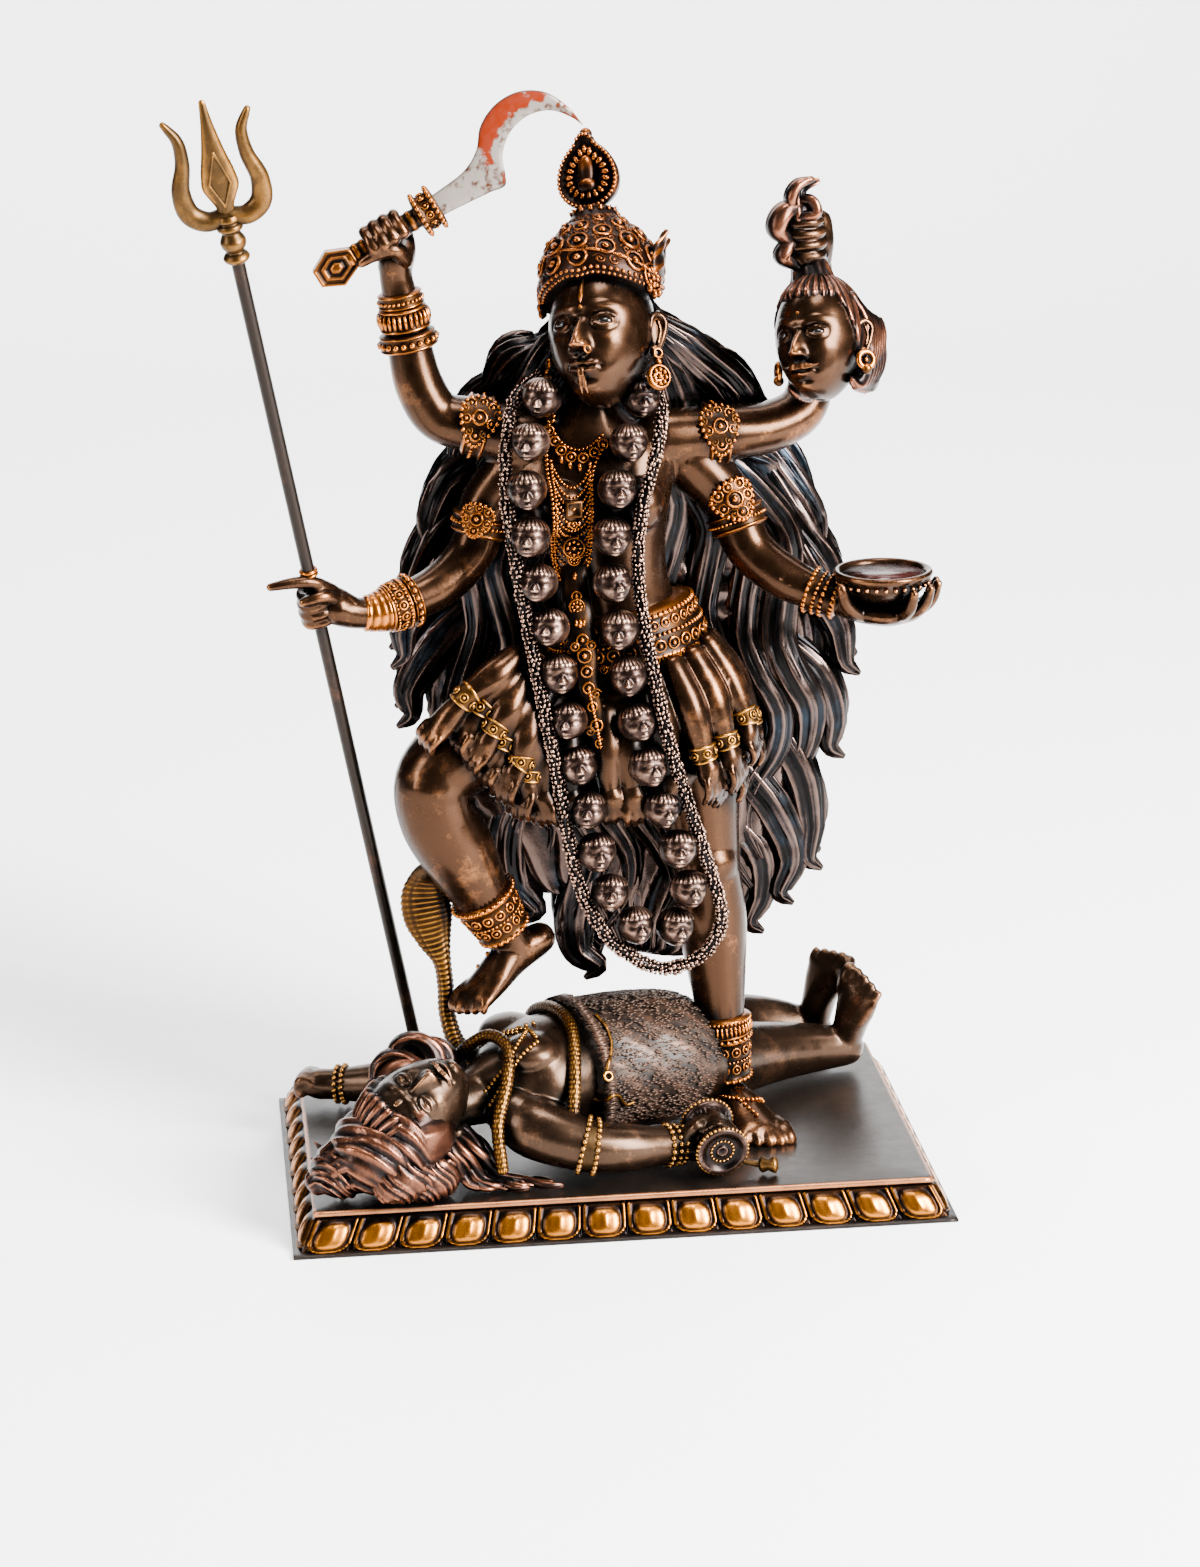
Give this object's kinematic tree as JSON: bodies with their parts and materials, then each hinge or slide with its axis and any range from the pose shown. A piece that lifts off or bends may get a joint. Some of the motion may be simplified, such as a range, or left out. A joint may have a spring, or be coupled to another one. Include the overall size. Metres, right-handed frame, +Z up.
{
  "type": "figure group",
  "caption": "Cast figure group: a crowned four-armed dancer with sword, trident, bowl and held head steps on a lying figure, on a slab with a lotus-petal border.",
  "frame": {"origin": "middle of the plinth's flat underside", "axes": "+Z up, +X to the dancer's left, which is the viewer's right, and the front toward -Y"},
  "size_m": [0.1933, 0.1142, 0.2909],
  "materials": {
    "plinth_bronze": "antique bronze, dark satin top, rubbed copper edges and gilt petals with black recesses",
    "figure_bronze": "antique bronze, dark brown patina with copper highlights",
    "gilt": "antique gold over black recesses",
    "blade_silver": "silver finish with brown stains and red along the outer curve",
    "dark_bronze": "dark brown bronze shaft with gilt prongs",
    "hair_black": "blue-black patina with copper on the ridges"
  },
  "bodies": {
    "root": {"plinth": "plinth_bronze", "lying_figure": "figure_bronze", "standing_figure": "figure_bronze", "bowl": "figure_bronze", "sword": "blade_silver", "trident": "dark_bronze"}
  },
  "joints": []
}
